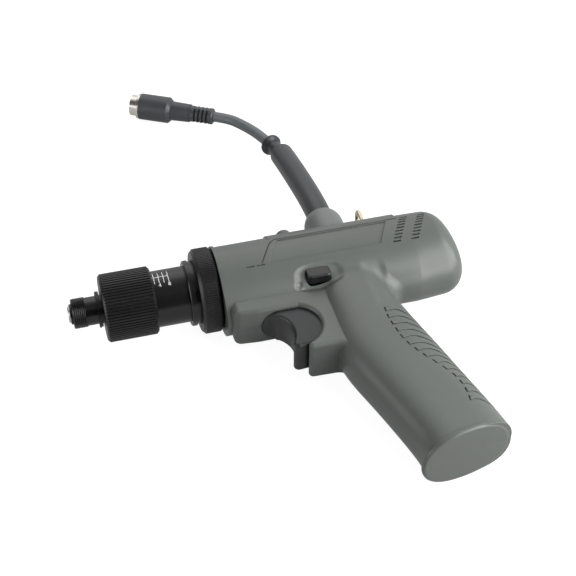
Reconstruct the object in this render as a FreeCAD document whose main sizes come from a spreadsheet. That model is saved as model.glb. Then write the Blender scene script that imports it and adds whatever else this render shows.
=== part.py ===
import FreeCAD, Part
import Sketcher
import math
import os

# Electric torque screwdriver with a pistol grip, a cable boot and a plug.
#
# Tool frame: the output axis is X, the bit socket opens at x = 0 and the
# housing runs to +X. The grip hangs to -Y, the cable leaves to +Y and the
# left shell faces +Z. The tool lies on its right side, turned a little about
# the output axis so that both the barrel and the grip end touch the table.

doc = FreeCAD.newDocument("TorqueScrewdriver")
sheet = doc.addObject("Spreadsheet::Sheet", "Sizes")
V = FreeCAD.Vector

SIZES = {
    # Fits
    "slide_gap": 0.3,
    "run_gap": 0.06,
    "seat_gap": 0.02,
    # Nose and bit socket
    "hex_across": 6.35,
    "hex_depth": 20.0,
    "spindle_r": 4.65,
    "tip_bevel": 0.7,
    "bit_sleeve_x": 1.1,
    "bit_sleeve_len": 7.4,
    "bit_sleeve_r": 5.55,
    "bit_sleeve_travel": 1.8,
    "collar_x": 2.2,
    "thread_len": 7.3,
    "thread_r": 8.15,
    "neck_r": 7.7,
    "nose_bore_r": 5.9,
    "bushing_len": 9.0,
    "washer_x": 15.6,
    "washer_r": 9.9,
    "washer_thick": 0.9,
    "clip_thick": 1.0,
    "clip_gap": 3.2,
    # Torque adjustment
    "sleeve_x": 18.6,
    "sleeve_end": 46.3,
    "sleeve_r": 18.6,
    "sleeve_wall": 3.0,
    "sleeve_ridges": 70,
    "ridge_depth": 0.6,
    "sleeve_chamfer": 1.2,
    "barrel_x": 29.5,
    "barrel_r": 15.4,
    "barrel_bore_r": 13.6,
    "seat_x": 34.0,
    "seat_thick": 3.5,
    "lug_width": 4.6,
    "lug_r": 16.6,
    "setting_down": 0.75,
    "setting_up": 7.0,
    # Clutch
    "spring_r": 10.2,
    "spring_wire": 2.2,
    "spring_coils": 5.0,
    "pressure_x": 60.2,
    "pressure_thick": 2.1,
    "ball_r": 1.9,
    "ball_circle_r": 9.2,
    "ball_count": 6,
    "cage_thick": 2.2,
    "cage_r": 12.9,
    "drive_plate_thick": 3.0,
    "journal_r": 2.5,
    # Rear flange of the clutch housing and the coupling ring
    "shoulder_x": 64.5,
    "shoulder_r": 18.0,
    "shoulder_thick": 2.7,
    "ring_x": 69.6,
    "ring_end": 80.8,
    "ring_r": 23.4,
    "ring_ridges": 120,
    "ring_ridge_depth": 0.35,
    "ring_chamfer": 1.6,
    "ring_lip": 2.2,
    "root_r": 17.2,
    "root_flange_thick": 2.6,
    # Planetary gears
    "gear_case_r": 18.9,
    "gear_case_end": 99.0,
    "gear_module": 0.7,
    "sun_teeth": 12,
    "planet_teeth": 18,
    "annulus_teeth": 48,
    "planet_count": 3,
    "gear_width": 6.0,
    "carrier_thick": 2.4,
    "carrier_gap": 0.8,
    "planet_pin_r": 1.25,
    "output_bearing_width": 3.4,
    "output_shaft_r": 4.0,
    # Motor
    "motor_r": 17.5,
    "motor_end": 136.0,
    "motor_wall": 1.2,
    "magnet_thick": 3.6,
    "armature_r": 11.6,
    "armature_len": 22.0,
    "commutator_r": 5.0,
    "commutator_len": 6.0,
    "shaft_r": 1.6,
    "motor_bearing_r": 5.0,
    "motor_bearing_width": 3.2,
    "end_cap_len": 4.0,
    # Housing
    "housing_gap": 0.3,
    "housing_r": 22.4,
    "housing_depth": 30.0,
    "housing_wall": 2.4,
    "front_wall": 2.2,
    "housing_end": 215.3,
    "tail_len": 26.3,
    "tail_round": 11.0,
    "tail_tip_y": -14.0,
    "tail_lean": 11.0,
    "saddle_x": 112.5,
    "saddle_end": 185.0,
    "saddle_top_y": 24.2,
    "saddle_edge_y": 8.2,
    "rib_thick": 2.0,
    # Block and heel under the barrel
    "block_x": 83.5,
    "block_depth": 34.4,
    "block_half": 12.4,
    "block_round": 2.0,
    "block_corner": 4.0,
    "heel_depth": 65.5,
    "trigger_x": 98.4,
    "trigger_half": 9.7,
    "trigger_slot_end": 133.0,
    # Grip
    "grip_blend": 8.0,
    "grip_wall": 2.8,
    "grip_half": 16.8,
    "grip_square": 2.8,
    "groove_width": 0.9,
    "groove_depth": 0.7,
    "grip_foot_thick": 3.4,
    "grip_foot_half": 18.2,
    "grip_foot_len": 47.4,
    # Trigger
    "pivot_x": 104.5,
    "pivot_y": -29.0,
    "pivot_r": 1.5,
    "pivot_end": 11.6,
    # Reversing button
    "button_x": 132.9,
    "button_y": -20.2,
    "button_len": 13.0,
    "button_height": 7.4,
    "button_reach": 19.6,
    "button_travel": 3.0,
    "button_bar_height": 3.6,
    # Switch and control board
    "switch_x": 134.8,
    "switch_y": -46.6,
    "switch_len": 16.0,
    "switch_height": 14.0,
    "switch_half": 7.0,
    "plunger_r": 2.2,
    "plunger_tip_x": 129.4,
    "board_x": 150.0,
    "board_y": -8.0,
    "board_len": 50.0,
    "board_half": 15.0,
    "board_thick": 1.6,
    # Vents
    "vent_x": 186.6,
    "vent_column_gap": 10.3,
    "vent_top_y": 7.4,
    "vent_count": 9,
    "vent_pitch": 2.2,
    "vent_slant": 1.12,
    "vent_len": 4.4,
    "vent_width": 1.1,
    # Screws
    "screw_r": 1.5,
    "screw_head_r": 2.8,
    "screw_boss_r": 3.4,
    "screw_head_z": 10.0,
    "screw_tip_z": 8.0,
    # Top fittings
    "gland_x": 151.0,
    "gland_r": 11.2,
    "gland_middle_y": 33.0,
    "gland_hole_r": 7.3,
    "gland_stem_r": 9.6,
    "gland_nut_r": 10.6,
    "gland_nut_thick": 2.6,
    "gland_low_y": 13.9,
    "gland_top_y": 40.7,
    "bail_x": 172.0,
    "bail_y": 26.5,
    "bail_half": 4.8,
    "bail_height": 11.9,
    "bail_wire_r": 1.1,
    "bail_corner": 1.8,
    "lug_half": 3.0,
    "lug_round": 3.5,
    "lamp_x": 124.0,
    "lamp_z": 9.5,
    "lamp_r": 2.6,
    "lamp_collar_r": 4.1,
    "lamp_top_y": 22.0,
    # Cable
    "boot_r": 7.2,
    "boot_neck_r": 4.4,
    "boot_flange_r": 6.6,
    "cable_r": 3.3,
    "plug_r": 8.4,
    "plug_len": 21.0,
    "plug_neck_r": 5.8,
    "plug_neck_len": 12.5,
    "relief_r": 5.2,
    "relief_len": 15.5,
    "shell_r": 6.6,
    "shell_wall": 0.5,
    "shell_reach": 4.6,
    "shell_flange_r": 8.1,
    "shell_flange_thick": 1.6,
    "shell_depth": 7.2,
}

for row, (alias, number) in enumerate(SIZES.items(), start=1):
    sheet.set("A%d" % row, alias)
    sheet.set("B%d" % row, str(number))
    sheet.setAlias("B%d" % row, alias)
doc.recompute()


class Size:
    """A number that also knows its expression on the sheet."""

    def __init__(self, value, text):
        self.value = float(value)
        self.text = text

    def __float__(self):
        return self.value

    def __add__(self, other):
        other = as_size(other)
        return Size(self.value + other.value, "(%s + %s)" % (self.text, other.text))

    __radd__ = __add__

    def __neg__(self):
        return Size(-self.value, "(0 - %s)" % self.text)

    def __sub__(self, other):
        other = as_size(other)
        return Size(self.value - other.value, "(%s - %s)" % (self.text, other.text))

    def __rsub__(self, other):
        return as_size(other) - self

    def __mul__(self, other):
        other = as_size(other)
        return Size(self.value * other.value, "(%s * %s)" % (self.text, other.text))

    __rmul__ = __mul__

    def __truediv__(self, other):
        other = as_size(other)
        return Size(self.value / other.value, "(%s / %s)" % (self.text, other.text))


def as_size(number):
    if isinstance(number, Size):
        return number
    return Size(number, repr(float(number)))


class Sheet:
    """Reads a named size from the sheet."""

    def __getattr__(self, alias):
        return Size(sheet.get(alias), "Sizes.%s" % alias)


s = Sheet()


def num(alias):
    return float(sheet.get(alias))


parts = []


def keep(item, label):
    item.Label = label
    parts.append(item)
    return item


def origin_plane(body, role):
    return [f for f in body.Origin.OriginFeatures if f.Role == role][0]


def pin_point(sketch, line, axis, size):
    """Ties one coordinate of a line's start point to the sheet."""
    if abs(size.value) < 1e-9:
        along = -2 if axis == "DistanceX" else -1
        sketch.addConstraint(Sketcher.Constraint("PointOnObject", line, 1, along))
    elif size.value > 0:
        index = sketch.addConstraint(Sketcher.Constraint(axis, -1, 1, line, 1, size.value))
        sketch.setExpression("Constraints[%d]" % index, size.text)
    else:
        index = sketch.addConstraint(Sketcher.Constraint(axis, line, 1, -1, 1, -size.value))
        sketch.setExpression("Constraints[%d]" % index, (-size).text)


def outline_sketch(body, name, points, role="XY_Plane"):
    """A closed outline whose corners are all bound to the sheet."""
    sketch = body.newObject("Sketcher::SketchObject", name)
    sketch.AttachmentSupport = (origin_plane(body, role), [""])
    sketch.MapMode = "FlatFace"
    corners = [(as_size(a), as_size(b)) for a, b in points]
    vectors = [V(a.value, b.value, 0) for a, b in corners]
    count = len(vectors)
    for i in range(count):
        sketch.addGeometry(Part.LineSegment(vectors[i], vectors[(i + 1) % count]), False)
    for i in range(count):
        sketch.addConstraint(Sketcher.Constraint("Coincident", i, 2, (i + 1) % count, 1))
    for i, (a, b) in enumerate(corners):
        pin_point(sketch, i, "DistanceX", a)
        pin_point(sketch, i, "DistanceY", b)
    return sketch


def turned(label, points):
    """A piece turned about the output axis, from (station, radius) corners."""
    body = doc.addObject("PartDesign::Body", label)
    sketch = outline_sketch(body, label + "_profile", points)
    turn = body.newObject("PartDesign::Revolution", label + "_turn")
    turn.Profile = sketch
    turn.ReferenceAxis = (sketch, ["H_Axis"])
    turn.Angle = 360.0
    return keep(body, label)


def tube(label, start, end, inner, outer):
    return turned(label, [(start, inner), (start, outer), (end, outer), (end, inner)])


def made(label, shape):
    """A piece whose shape is worked out here from the sheet's sizes."""
    item = doc.addObject("Part::Feature", label)
    item.Shape = shape
    return keep(item, label)


def rod(x0, x1, radius, y=0.0, z=0.0):
    """A round bar along X."""
    return Part.makeCylinder(radius, x1 - x0, V(x0, y, z), V(1, 0, 0))


def cross_pin(x, y, z0, z1, radius):
    """A round bar along Z."""
    return Part.makeCylinder(radius, z1 - z0, V(x, y, z0), V(0, 0, 1))


def block(x0, x1, y0, y1, z0, z1):
    return Part.makeBox(x1 - x0, y1 - y0, z1 - z0, V(x0, y0, z0))


def around_axis(shape, count, start=0.0):
    """Copies of a shape spaced evenly about the output axis."""
    copies = []
    for i in range(count):
        copy = shape.copy()
        copy.rotate(V(0, 0, 0), V(1, 0, 0), start + 360.0 * i / count)
        copies.append(copy)
    return copies


def prism(points, z0, z1):
    """An outline in the side view, extruded across the tool."""
    wire = Part.makePolygon([V(x, y, z0) for x, y in points] + [V(points[0][0], points[0][1], z0)])
    return Part.Face(wire).extrude(V(0, 0, z1 - z0))


def side_plate(start, steps, z0, z1):
    """A side outline of lines and arcs, extruded across the tool.

    A step is an end point, or a point on the arc and its end point.
    """
    edges = []
    here = V(start[0], start[1], z0)
    for step in steps:
        there = V(step[-2], step[-1], z0)
        if len(step) == 2:
            edges.append(Part.LineSegment(here, there).toShape())
        else:
            edges.append(Part.Arc(here, V(step[0], step[1], z0), there).toShape())
        here = there
    edges.append(Part.LineSegment(here, V(start[0], start[1], z0)).toShape())
    return Part.Face(Part.Wire(edges)).extrude(V(0, 0, z1 - z0))


def edges_along(shape, direction, test):
    """Straight edges that run along a direction and pass a test on their middle."""
    found = []
    for edge in shape.Edges:
        if edge.Curve.TypeId != "Part::GeomLine":
            continue
        a, b = edge.Vertexes[0].Point, edge.Vertexes[-1].Point
        way = b.sub(a)
        if way.Length < 1e-6 or abs(abs(way.normalize().dot(direction)) - 1) > 1e-4:
            continue
        if test(edge.CenterOfMass):
            found.append(edge)
    return found


# Stations that follow from the sizes
seat_end = s.seat_x + s.seat_thick
pressure_end = s.pressure_x + s.pressure_thick
ball_x = pressure_end + s.ball_r + s.seat_gap
cage_x = ball_x - s.cage_thick * 0.5
drive_x = ball_x + s.cage_thick * 0.5 + s.slide_gap
drive_end = drive_x + s.drive_plate_thick
root_x = s.ring_x + s.ring_lip + s.seat_gap
root_end = root_x + s.root_flange_thick
gear_case_x = root_end + s.seat_gap
output_bearing_x = root_end - s.output_bearing_width
carrier_two_x = gear_case_x + s.carrier_gap
planet_two_x = carrier_two_x + s.carrier_thick + s.carrier_gap
carrier_one_x = planet_two_x + s.gear_width + s.carrier_gap
planet_one_x = carrier_one_x + s.carrier_thick + s.carrier_gap
motor_x = s.gear_case_end + s.seat_gap
housing_x = s.ring_end + s.housing_gap
housing_bore = s.housing_r - s.housing_wall


def arc_through(top, edge_y, edge_z):
    """Radius and centre height of an arc about the Y axis with this top and edge."""
    rise = top - edge_y
    radius = (rise ** 2 + edge_z ** 2) / (2 * rise)
    return radius, top - radius


saddle_edge_z = math.sqrt(num("housing_r") ** 2 - num("saddle_edge_y") ** 2)
saddle_r, saddle_y = arc_through(num("saddle_top_y"), num("saddle_edge_y"), saddle_edge_z)


# Nose collar, clutch housing and its slots
def clutch_housing():
    gap = num("slide_gap")
    slot_half = num("lug_width") / 2 + gap
    slot_way = block(num("seat_x") - num("setting_down") - gap, float(seat_end) + num("setting_up") + gap,
                     -slot_half, slot_half, num("barrel_bore_r") - 1.0, num("barrel_r") + 1.0)
    profile = [
        (s.collar_x, s.nose_bore_r),
        (s.collar_x, s.thread_r - 0.5),
        (s.collar_x + 0.5, s.thread_r),
        (s.collar_x + s.thread_len, s.thread_r),
        (s.collar_x + s.thread_len, s.neck_r),
        (s.barrel_x, s.neck_r),
        (s.barrel_x, s.barrel_r - 0.5),
        (s.barrel_x + 0.5, s.barrel_r),
        (s.shoulder_x, s.barrel_r),
        (s.shoulder_x, s.shoulder_r - 0.5),
        (s.shoulder_x + 0.5, s.shoulder_r),
        (s.shoulder_x + s.shoulder_thick, s.shoulder_r),
        (s.shoulder_x + s.shoulder_thick, s.root_r),
        (root_x, s.root_r),
        (root_x, s.gear_case_r),
        (root_end, s.gear_case_r),
        (root_end, s.barrel_bore_r),
        (s.barrel_x + 2.0, s.barrel_bore_r),
        (s.barrel_x + 2.0, s.nose_bore_r),
    ]
    wire = Part.makePolygon([V(float(a), float(b), 0) for a, b in profile + profile[:1]])
    shape = Part.Face(wire).revolve(V(0, 0, 0), V(1, 0, 0), 360)
    return shape.cut(Part.makeCompound(around_axis(slot_way, 3)))


made("clutch_housing", clutch_housing())


# Washer and the circlip that stop the adjusting sleeve
tube("nose_washer", s.washer_x, s.washer_x + s.washer_thick, s.neck_r + s.run_gap, s.washer_r)


def nose_circlip():
    x0 = num("washer_x") + num("washer_thick") + num("seat_gap")
    x1 = x0 + num("clip_thick")
    outer = num("washer_r") - 0.4
    inner = num("neck_r") + num("seat_gap")
    clip = rod(x0, x1, outer).cut(rod(x0, x1, inner))
    ear_r = 1.7
    ear_place = (outer + inner) / 2 + 0.3
    holes = []
    for side in (-1, 1):
        angle = side * (num("clip_gap") / 2 + ear_r) / ear_place
        y, z = ear_place * math.cos(angle), ear_place * math.sin(angle)
        clip = clip.fuse(rod(x0, x1, ear_r, y, z).cut(rod(x0, x1, inner)))
        holes.append(rod(x0, x1, 0.6, y, z))
    gap = block(x0, x1, inner * 0.5, outer + 3, -num("clip_gap") / 2, num("clip_gap") / 2)
    return clip.cut(Part.makeCompound(holes + [gap])).removeSplitter()


made("nose_circlip", nose_circlip())


# Output spindle with its hex socket and ball cage
def hex_prism(x0, x1, across):
    corner = across / math.sqrt(3.0)
    points = [V(x0, corner * math.cos(math.radians(60 * i)), corner * math.sin(math.radians(60 * i)))
              for i in range(7)]
    return Part.Face(Part.makePolygon(points)).extrude(V(x1 - x0, 0, 0))


def output_spindle():
    bevel = num("tip_bevel")
    r = num("spindle_r")
    profile = [(0, 0), (0, r - bevel), (bevel, r), (float(cage_x), r), (float(cage_x), num("cage_r")),
               (float(cage_x) + num("cage_thick"), num("cage_r")),
               (float(cage_x) + num("cage_thick"), num("journal_r")),
               (float(drive_end), num("journal_r")), (float(drive_end), 0)]
    wire = Part.makePolygon([V(a, b, 0) for a, b in profile + profile[:1]])
    shape = Part.Face(wire).revolve(V(0, 0, 0), V(1, 0, 0), 360)
    hole = rod(float(cage_x) - 1, float(cage_x) + num("cage_thick") + 1,
               num("ball_r") + 0.12, num("ball_circle_r"))
    cuts = around_axis(hole, int(num("ball_count")))
    cuts.append(hex_prism(-1.0, num("hex_depth"), num("hex_across")))
    mouth = num("hex_across") / math.sqrt(3.0)
    cuts.append(Part.makeCone(mouth + 0.4, mouth - 0.5, 0.9, V(0, 0, 0), V(1, 0, 0)))
    return shape.cut(Part.makeCompound(cuts))


made("output_spindle", output_spindle())

tube("bit_sleeve", s.bit_sleeve_x, s.bit_sleeve_x + s.bit_sleeve_len,
     s.spindle_r + s.run_gap, s.bit_sleeve_r)
bushing_x = s.bit_sleeve_x + s.bit_sleeve_len + s.bit_sleeve_travel + 3.2
tube("spindle_bushing", bushing_x, bushing_x + s.bushing_len,
     s.spindle_r + s.run_gap, s.nose_bore_r - s.seat_gap)


def coil(x0, x1, mean_r, wire_r, turns):
    """A compression spring about the output axis."""
    height = x1 - x0 - 2 * wire_r
    helix = Part.makeHelix(height / turns, height, mean_r)
    ring = Part.Wire(Part.makeCircle(wire_r, V(mean_r, 0, 0), V(0, 1, 0)))
    shape = Part.Wire(helix.Edges).makePipeShell([ring], True, True)
    shape.rotate(V(0, 0, 0), V(0, 1, 0), 90)
    shape.translate(V(x0 + wire_r, 0, 0))
    return shape


sleeve_spring_x = float(s.bit_sleeve_x + s.bit_sleeve_len) + num("seat_gap")
made("bit_sleeve_spring", coil(sleeve_spring_x, float(bushing_x) - num("seat_gap"),
                               (num("spindle_r") + num("nose_bore_r")) / 2, 0.3, 4.0))


# Torque adjusting sleeve with a straight knurl, and the seat that it drives
def ridged_bar(x0, x1, outer_r, depth, ridges, chamfer):
    """A straight-knurled bar along X with chamfered ends."""
    points = []
    for i in range(ridges):
        for share, radius in ((0.0, outer_r), (0.42, outer_r), (0.6, outer_r - depth),
                              (0.82, outer_r - depth)):
            angle = 2 * math.pi * (i + share) / ridges
            points.append(V(x0, radius * math.cos(angle), radius * math.sin(angle)))
    body = Part.Face(Part.makePolygon(points + points[:1])).extrude(V(x1 - x0, 0, 0))
    profile = [(x0, 0), (x0, outer_r - chamfer), (x0 + chamfer, outer_r + 0.01),
               (x1 - chamfer, outer_r + 0.01), (x1, outer_r - chamfer), (x1, 0)]
    wire = Part.makePolygon([V(a, b, 0) for a, b in profile + profile[:1]])
    envelope = Part.Face(wire).revolve(V(0, 0, 0), V(1, 0, 0), 360)
    return body.common(envelope)


def adjusting_sleeve():
    x0, x1 = num("sleeve_x"), num("sleeve_end")
    shape = ridged_bar(x0, x1, num("sleeve_r"), num("ridge_depth"), int(num("sleeve_ridges")),
                       num("sleeve_chamfer"))
    groove = num("slide_gap") / 2
    cuts = [rod(x0 - 1, x1, num("neck_r") + num("slide_gap")),
            rod(x0 + num("sleeve_wall"), x1 + 1, num("barrel_r") + num("slide_gap")),
            rod(num("seat_x") - groove, float(seat_end) + groove, num("lug_r") + num("slide_gap"))]
    for cutter in cuts:
        shape = shape.cut(cutter)
    return shape


made("adjusting_sleeve", adjusting_sleeve())


def thrust_seat():
    x0, x1 = num("seat_x"), float(seat_end)
    ring = rod(x0, x1, num("barrel_bore_r") - num("slide_gap"))
    lug = block(x0, x1, -num("lug_width") / 2, num("lug_width") / 2, num("barrel_bore_r") - 2,
                num("lug_r"))
    for piece in around_axis(lug, 3):
        ring = ring.fuse(piece.common(rod(x0, x1, num("lug_r"))))
    return ring.cut(rod(x0, x1, num("spindle_r") + 1.2)).removeSplitter()


made("thrust_seat", thrust_seat())

made("clutch_spring", coil(float(seat_end) + num("seat_gap"), num("pressure_x") - num("seat_gap"),
                           num("spring_r"), num("spring_wire") / 2, num("spring_coils")))

tube("pressure_plate", s.pressure_x, pressure_end, s.spindle_r + s.slide_gap, s.cage_r)
ball = Part.makeSphere(num("ball_r"), V(float(ball_x), num("ball_circle_r"), 0))
made("clutch_balls", Part.makeCompound(around_axis(ball, int(num("ball_count")))))


# Gears with straight-sided teeth on the true pitch circles
def tooth_ring(x0, x1, teeth, module, internal=False, turn=0.0):
    """A toothed bar along X: for an internal gear, the shape of the hole."""
    pitch_r = teeth * module / 2
    top = pitch_r + (1.15 if internal else 0.85) * module
    root = pitch_r - (0.7 if internal else 1.2) * module
    at_pitch = (0.56 if internal else 0.42) * math.pi * module / pitch_r
    slope = math.tan(math.radians(20.0))
    points = []
    for i in range(teeth):
        middle = 2 * math.pi * i / teeth + turn
        for side, radius in ((-1, root), (-1, top), (1, top), (1, root)):
            half = at_pitch / 2 - (radius - pitch_r) * slope / radius
            angle = middle + side * half
            points.append(V(x0, radius * math.cos(angle), radius * math.sin(angle)))
    return Part.Face(Part.makePolygon(points + points[:1])).extrude(V(x1 - x0, 0, 0))


def gear_case():
    x0, x1 = float(gear_case_x), num("gear_case_end")
    module = num("gear_module")
    teeth = int(num("annulus_teeth"))
    shape = rod(x0, x1, num("gear_case_r"))
    return shape.cut(tooth_ring(x0 - 1, x1 + 1, teeth, module, internal=True))


made("gear_case", gear_case())

planet_circle = (num("sun_teeth") + num("planet_teeth")) * num("gear_module") / 2


def planet_wheels(x0):
    """Three planet wheels, each turned so that it meshes with sun and annulus."""
    module = num("gear_module")
    teeth = int(num("planet_teeth"))
    wheels = []
    for i in range(int(num("planet_count"))):
        around = 2 * math.pi * i / int(num("planet_count"))
        turn = around - around * num("annulus_teeth") / teeth
        wheel = tooth_ring(x0, x0 + num("gear_width"), teeth, module, turn=turn)
        wheel = wheel.cut(rod(x0 - 1, x0 + num("gear_width") + 1, num("planet_pin_r") + num("run_gap")))
        wheel.translate(V(0, planet_circle * math.cos(around), planet_circle * math.sin(around)))
        wheels.append(wheel)
    return wheels


def sun_turn():
    """Half a tooth when the planet shows a tooth to the sun, so that they mesh."""
    planet = int(num("planet_teeth"))
    return math.pi / num("sun_teeth") if planet % 2 == 0 else 0.0


def carrier(x0, front_shape):
    """A carrier plate with planet pins to the rear and its output in front."""
    x1 = x0 + num("carrier_thick")
    shape = rod(x0, x1, planet_circle + 3.0).fuse(front_shape)
    pins = []
    for i in range(int(num("planet_count"))):
        around = 2 * math.pi * i / int(num("planet_count"))
        pins.append(rod(x1 - 0.5, x1 + num("carrier_gap") + num("gear_width"), num("planet_pin_r"),
                        planet_circle * math.cos(around), planet_circle * math.sin(around)))
    for pin in pins:
        shape = shape.fuse(pin)
    return shape


def output_carrier():
    """The last carrier, its shaft, and the clutch drive plate with ball pockets."""
    shaft = rod(float(drive_x), float(carrier_two_x) + 0.5, num("output_shaft_r"))
    plate = rod(float(drive_x), float(drive_end), num("cage_r"))
    shape = carrier(float(carrier_two_x), shaft.fuse(plate))
    pocket = Part.makeSphere(num("ball_r") + 0.08, V(float(ball_x), num("ball_circle_r"), 0))
    cuts = around_axis(pocket, int(num("ball_count")))
    cuts.append(rod(float(drive_x) - 1, float(drive_end) + 0.3, num("journal_r") + num("run_gap")))
    return shape.cut(Part.makeCompound(cuts))


def first_carrier():
    sun = tooth_ring(float(planet_two_x) - 0.3, float(carrier_one_x) + 0.5,
                     int(num("sun_teeth")), num("gear_module"), turn=sun_turn())
    return carrier(float(carrier_one_x), sun)


def motor_pinion():
    x0 = float(planet_one_x) - 0.4
    x1 = float(planet_one_x) + num("gear_width") + 0.4
    shape = tooth_ring(x0, x1, int(num("sun_teeth")), num("gear_module"), turn=sun_turn())
    return shape.cut(rod(x0 - 1, x1 + 1, num("shaft_r") + num("seat_gap")))


made("output_carrier", output_carrier())
made("first_carrier", first_carrier())
made("motor_pinion", motor_pinion())
for stage, place in (("two", planet_two_x), ("one", planet_one_x)):
    for number, wheel in enumerate(planet_wheels(float(place)), start=1):
        made("planet_%s_%d" % (stage, number), wheel)
tube("output_bearing", output_bearing_x, root_end, s.output_shaft_r + s.run_gap,
     s.barrel_bore_r - s.seat_gap)


# Coupling ring that clamps the clutch housing to the gear case
def coupling_ring():
    x0, x1 = num("ring_x"), num("ring_end")
    shape = ridged_bar(x0, x1, num("ring_r"), num("ring_ridge_depth"), int(num("ring_ridges")),
                       num("ring_chamfer"))
    shape = shape.cut(rod(x0 - 1, x1 + 1, num("root_r") + num("slide_gap")))
    return shape.cut(rod(x0 + num("ring_lip"), x1 + 1, num("gear_case_r") + num("seat_gap")))


made("coupling_ring", coupling_ring())

# Motor: can, magnets, armature, bearings, end cap and brushes
wall = s.motor_wall
front_bearing_end = motor_x + s.motor_bearing_width
turned("motor_can", [
    (motor_x, s.motor_bearing_r + s.seat_gap), (motor_x, s.motor_r), (s.motor_end, s.motor_r),
    (s.motor_end, s.motor_r - wall), (front_bearing_end, s.motor_r - wall),
    (front_bearing_end, s.motor_bearing_r + s.seat_gap)])
tube("front_motor_bearing", motor_x, front_bearing_end, s.shaft_r + s.seat_gap, s.motor_bearing_r)


def motor_magnets():
    x0, x1 = float(front_bearing_end) + 1.0, num("motor_end") - 3.0
    outer = num("motor_r") - num("motor_wall") - num("seat_gap")
    ring = rod(x0, x1, outer).cut(rod(x0, x1, outer - num("magnet_thick")))
    return ring.cut(block(x0, x1, -4.5, 4.5, -outer, outer))


made("motor_magnets", motor_magnets())


def armature():
    """Shaft, slotted core with end windings, and the commutator."""
    core_x = float(front_bearing_end) + 3.0
    core_end = core_x + num("armature_len")
    core = rod(core_x, core_end, num("armature_r"))
    slot = block(core_x - 1, core_end + 1, -1.0, 1.0, num("armature_r") - 5.0, num("armature_r") + 1)
    core = core.cut(Part.makeCompound(around_axis(slot, 5)))
    shape = core.fuse(rod(core_x - 1.5, core_end + 1.5, num("armature_r") - 2.5))
    shape = shape.fuse(rod(core_end, core_end + 1.5 + num("commutator_len"), num("commutator_r")))
    tail = num("motor_end") + num("end_cap_len")
    return shape.fuse(rod(float(planet_one_x) - 0.4, tail, num("shaft_r")))


made("armature", armature())
rear_bearing_x = s.motor_end + s.end_cap_len - s.motor_bearing_width
tube("rear_motor_bearing", rear_bearing_x, s.motor_end + s.end_cap_len,
     s.shaft_r + s.seat_gap, s.motor_bearing_r)
turned("motor_end_cap", [
    (s.motor_end + s.seat_gap, s.shaft_r + 1.4), (s.motor_end + s.seat_gap, s.motor_r),
    (s.motor_end + s.end_cap_len, s.motor_r), (s.motor_end + s.end_cap_len, s.motor_bearing_r + s.seat_gap),
    (rear_bearing_x, s.motor_bearing_r + s.seat_gap), (rear_bearing_x, s.shaft_r + 1.4)])


def motor_brushes():
    x1 = num("motor_end")
    x0 = x1 - 4.5
    low = num("commutator_r") + num("slide_gap")
    pair = []
    for side in (-1, 1):
        pair.append(block(x0, x1, min(side * low, side * (low + 6.0)), max(side * low, side * (low + 6.0)),
                          -2.0, 2.0))
    return Part.makeCompound(pair)


made("motor_brushes", motor_brushes())


# Housing forms: barrel, block, heel and grip
def barrel_ring(x, middle, top, bottom, half, inset):
    """One closed section of the barrel: two half ovals that share their width."""
    points = []
    steps = 20
    for i in range(steps):
        angle = 2 * math.pi * i / steps
        reach = (top - middle if math.sin(angle) >= 0 else middle - bottom) - inset
        points.append(V(x, middle + reach * math.sin(angle), (half - inset) * math.cos(angle)))
    curve = Part.BSplineCurve()
    curve.interpolate(points, PeriodicFlag=True)
    return Part.Wire([curve.toShape()])


def barrel_form(inset):
    """The barrel: straight, then a slight taper to a rounded tail that leans back."""
    r, deep = num("housing_r"), num("housing_depth")
    end = num("housing_end") - inset
    front = float(housing_x) + (num("front_wall") if inset > 0 else 0.0)
    waist = num("housing_end") - num("tail_len")
    straight = Part.Face(barrel_ring(front, 0.0, r, -deep, r, inset)).extrude(V(waist - front, 0, 0))
    taper = Part.makeLoft([barrel_ring(waist, 0.0, r, -deep, r, inset),
                           barrel_ring(end + 8.0, 0.0, r - 0.6, -deep + 3.6, r - 0.6, inset)],
                          True, False)
    lean = math.radians(num("tail_lean"))
    wedge = Part.makeBox(60, 160, 160, V(0, -80, -80))
    wedge.rotate(V(0, 0, 0), V(0, 0, 1), math.degrees(lean))
    wedge.translate(V(end, num("tail_tip_y"), 0))
    shape = straight.fuse(taper).cut(wedge).removeSplitter()
    rear = [e for e in shape.Edges if e.BoundBox.XMin > end - 12.0 and e.BoundBox.YLength > 10.0]
    return shape.makeFillet(num("tail_round") - inset, rear)


def grip_ring(y, front, rear, half, inset):
    """One level section of the grip, a rounded oval."""
    points = []
    steps, power = 20, num("grip_square")
    middle, reach = (front + rear) / 2, (rear - front) / 2 - inset
    for i in range(steps):
        angle = 2 * math.pi * i / steps
        c, d = math.cos(angle), math.sin(angle)
        points.append(V(middle + reach * math.copysign(abs(c) ** (2 / power), c), y,
                        (half - inset) * math.copysign(abs(d) ** (2 / power), d)))
    curve = Part.BSplineCurve()
    curve.interpolate(points, PeriodicFlag=True)
    return Part.Wire([curve.toShape()])


# Levels of the grip: height, front edge, rear edge, share of the half width
GRIP_LEVELS = [
    (-8.0, 133.0, 160.0, 0.86),
    (-26.0, 132.0, 168.4, 1.00),
    (-40.0, 131.5, 171.6, 1.03),
    (-54.0, 131.5, 175.6, 1.03),
    (-66.0, 132.0, 179.4, 1.02),
    (-78.0, 134.4, 183.2, 1.00),
    (-94.0, 139.6, 187.8, 0.98),
    (-112.0, 145.4, 193.0, 0.98),
    (-128.0, 150.2, 197.3, 1.00),
    (-141.0, 153.0, 200.2, 1.03),
    (-156.0, 155.0, 203.2, 1.04),
]
FOOT_FRONT = V(151.6, -146.1, 0)
FOOT_REAR = V(198.1, -138.3, 0)
foot_middle = (FOOT_FRONT + FOOT_REAR) * 0.5
foot_way = (FOOT_REAR - FOOT_FRONT).normalize()
foot_down = V(foot_way.y, -foot_way.x, 0)


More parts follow.
